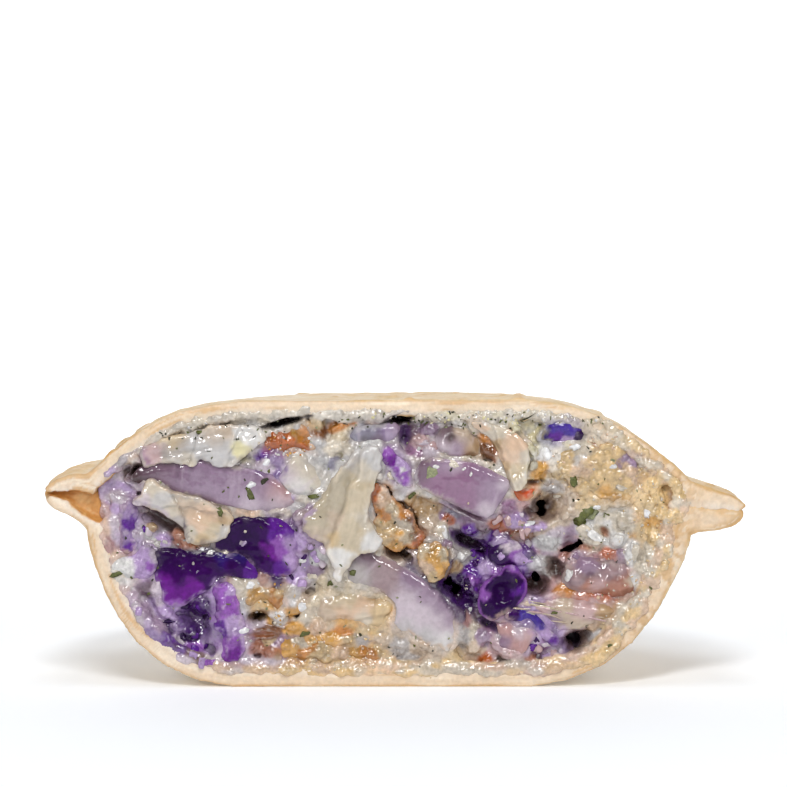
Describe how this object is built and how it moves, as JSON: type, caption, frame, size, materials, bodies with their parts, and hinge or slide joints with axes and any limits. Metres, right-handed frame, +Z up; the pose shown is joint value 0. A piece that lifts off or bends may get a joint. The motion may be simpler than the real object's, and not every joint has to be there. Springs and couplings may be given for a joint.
{
  "type": "half kebab pie",
  "caption": "Half of a round pinched-rim pastry pie, cut through the middle: golden base and domed lid round a creamy chicken, red onion and red cabbage filling",
  "frame": {"origin": "middle of the footprint, on the surface that the base rests on", "axes": "+Z up; +X along the cut to the viewer's right; the cut face looks along -Y"},
  "size_m": [0.115, 0.059, 0.0473],
  "materials": {
    "pastry": "baked shortcrust pastry, pale gold with a floury, slightly flaky surface",
    "creamy_filling": "moist creamy sauce with crumbs of meat and green herbs",
    "chicken": "moist cooked chicken, fibrous",
    "browned_chicken": "fried, browned chicken with a sheen of fat",
    "red_onion": "soft translucent red onion, mauve, wet",
    "pale_onion": "soft white onion, wet",
    "red_cabbage": "cooked red cabbage, deep violet, wet",
    "pepper": "orange pepper skin, wet"
  },
  "bodies": {
    "root": {"pastry_base": "pastry", "pastry_lid": "pastry", "filling_core": "creamy_filling", "chicken_flake_centre": "chicken", "chicken_flake_left": "chicken", "chicken_sheet": "chicken", "chicken_strip": "chicken", "chicken_fibre": "chicken", "chicken_crumb_right": "chicken", "chicken_pale_low": "chicken", "chicken_bit_left": "chicken", "chicken_pink": "chicken", "chicken_knob": "browned_chicken", "chicken_browned": "browned_chicken", "chicken_browned_low": "browned_chicken", "chicken_top": "browned_chicken", "onion_slab_left": "red_onion", "onion_slab_right": "red_onion", "onion_wedge": "red_onion", "onion_bit_right": "red_onion", "onion_grey": "red_onion", "onion_soft": "red_onion", "onion_pale": "pale_onion", "cabbage_leaf_upper": "red_cabbage", "cabbage_leaf_lower": "red_cabbage", "cabbage_cup": "red_cabbage", "cabbage_knot": "red_cabbage", "cabbage_rib": "red_cabbage", "cabbage_root": "red_cabbage", "cabbage_shred": "red_cabbage", "cabbage_strip_left": "red_cabbage", "cabbage_strip_right": "red_cabbage", "cabbage_chunk_right": "red_cabbage", "pepper_bit": "pepper"}
  },
  "joints": []
}
